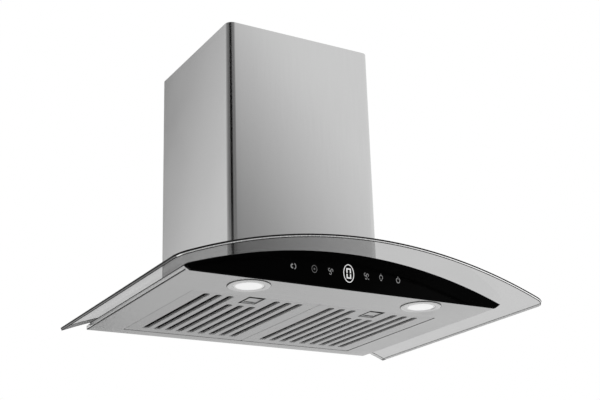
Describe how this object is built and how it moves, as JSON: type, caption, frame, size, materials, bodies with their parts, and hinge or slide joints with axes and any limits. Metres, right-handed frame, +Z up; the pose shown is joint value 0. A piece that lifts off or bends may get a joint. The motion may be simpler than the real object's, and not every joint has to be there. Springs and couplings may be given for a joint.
{
  "type": "range hood",
  "caption": "Wall-mounted range hood with an arched glass canopy, black touch panel, baffle filters, lamps, blower with damper and a telescopic chimney.",
  "frame": {"origin": "on the wall plane, midway between the two hanging windows of the back panel", "axes": "+Z up, +Y into the wall, +X to the right seen from the front; the front of the hood is at -Y"},
  "size_m": [0.6, 0.435, 0.4594],
  "materials": {
    "brushed_steel": "vertical brushed grain",
    "filter_steel": "brushed",
    "galvanised": "matte galvanised",
    "canopy_glass": "clear tempered, polished edge",
    "black_panel": "high gloss",
    "rubber": "matte",
    "black_plastic": "matte moulded",
    "grey_plastic": "satin moulded",
    "circuit_board": "solder mask",
    "lamp_lens": "opal, lit"
  },
  "bodies": {
    "hood_body": {"glass_canopy": "canopy_glass", "glass_gasket": "rubber", "glass_screw_left_front": "brushed_steel", "glass_screw_left_back": "brushed_steel", "glass_screw_right_front": "brushed_steel", "glass_screw_right_back": "brushed_steel", "body_pan": "brushed_steel", "top_shell": "brushed_steel", "back_panel": "galvanised", "fascia": "black_panel", "touch_board": "circuit_board", "lamp_ring_left": "brushed_steel", "lamp_lens_left": "lamp_lens", "lamp_module_left": "grey_plastic", "lamp_ring_right": "brushed_steel", "lamp_lens_right": "lamp_lens", "lamp_module_right": "grey_plastic", "motor_box": "galvanised", "scroll_wrap": "black_plastic", "scroll_side_left": "black_plastic", "scroll_side_right": "black_plastic", "motor": "galvanised", "motor_bracket": "galvanised", "inlet_guard": "galvanised", "capacitor": "grey_plastic", "control_box": "black_plastic", "cable_gland": "black_plastic", "duct_collar": "black_plastic", "damper_pin": "brushed_steel", "chimney_lower": "brushed_steel"},
    "inner_chimney": {"chimney_upper": "brushed_steel", "chimney_bracket": "galvanised"},
    "filter_left": {"filter_face_left": "filter_steel", "filter_baffle_left": "filter_steel", "latch_guide_left": "filter_steel", "latch_spring_left": "brushed_steel"},
    "filter_right": {"filter_face_right": "filter_steel", "filter_baffle_right": "filter_steel", "latch_guide_right": "filter_steel", "latch_spring_right": "brushed_steel"},
    "filter_latch_left": {"latch_plate_left": "filter_steel"},
    "filter_latch_right": {"latch_plate_right": "filter_steel"},
    "fan_wheel": {"impeller_disc": "grey_plastic", "impeller_blades_left": "grey_plastic", "impeller_blades_right": "grey_plastic", "impeller_ring_left": "grey_plastic", "impeller_ring_right": "grey_plastic", "motor_shaft": "brushed_steel"},
    "flap_left": {"damper_flap_left": "grey_plastic"},
    "flap_right": {"damper_flap_right": "grey_plastic"}
  },
  "joints": [
    {"name": "chimney_extension", "type": "slide", "parent": "hood_body", "child": "inner_chimney", "axis": [0, 0, 1], "range_m": [0, 0.28]},
    {"name": "filter_left_tilt", "type": "hinge", "parent": "hood_body", "child": "filter_left", "pos_m": [-0.1031, -0.0215, -0.124], "axis": [1, 0, 0], "range_deg": [0, 70]},
    {"name": "filter_right_tilt", "type": "hinge", "parent": "hood_body", "child": "filter_right", "pos_m": [0.1031, -0.0215, -0.124], "axis": [1, 0, 0], "range_deg": [0, 70]},
    {"name": "latch_left_slide", "type": "slide", "parent": "filter_left", "child": "filter_latch_left", "axis": [0, 1, 0], "range_m": [0, 0.007], "stiffness_N_per_m": 300, "springref_m": -0.004, "deforming": ["latch_spring_left"]},
    {"name": "latch_right_slide", "type": "slide", "parent": "filter_right", "child": "filter_latch_right", "axis": [0, 1, 0], "range_m": [0, 0.007], "stiffness_N_per_m": 300, "springref_m": -0.004, "deforming": ["latch_spring_right"]},
    {"name": "fan_spin", "type": "hinge", "parent": "hood_body", "child": "fan_wheel", "pos_m": [0, -0.122, 0.05], "axis": [1, 0, 0], "continuous": true},
    {"name": "flap_left_swing", "type": "hinge", "parent": "hood_body", "child": "flap_left", "pos_m": [0, -0.154, 0.1893], "axis": [0, 1, 0], "range_deg": [0, 75]},
    {"name": "flap_right_swing", "type": "hinge", "parent": "hood_body", "child": "flap_right", "pos_m": [0, -0.154, 0.1893], "axis": [0, -1, 0], "range_deg": [0, 75]}
  ]
}
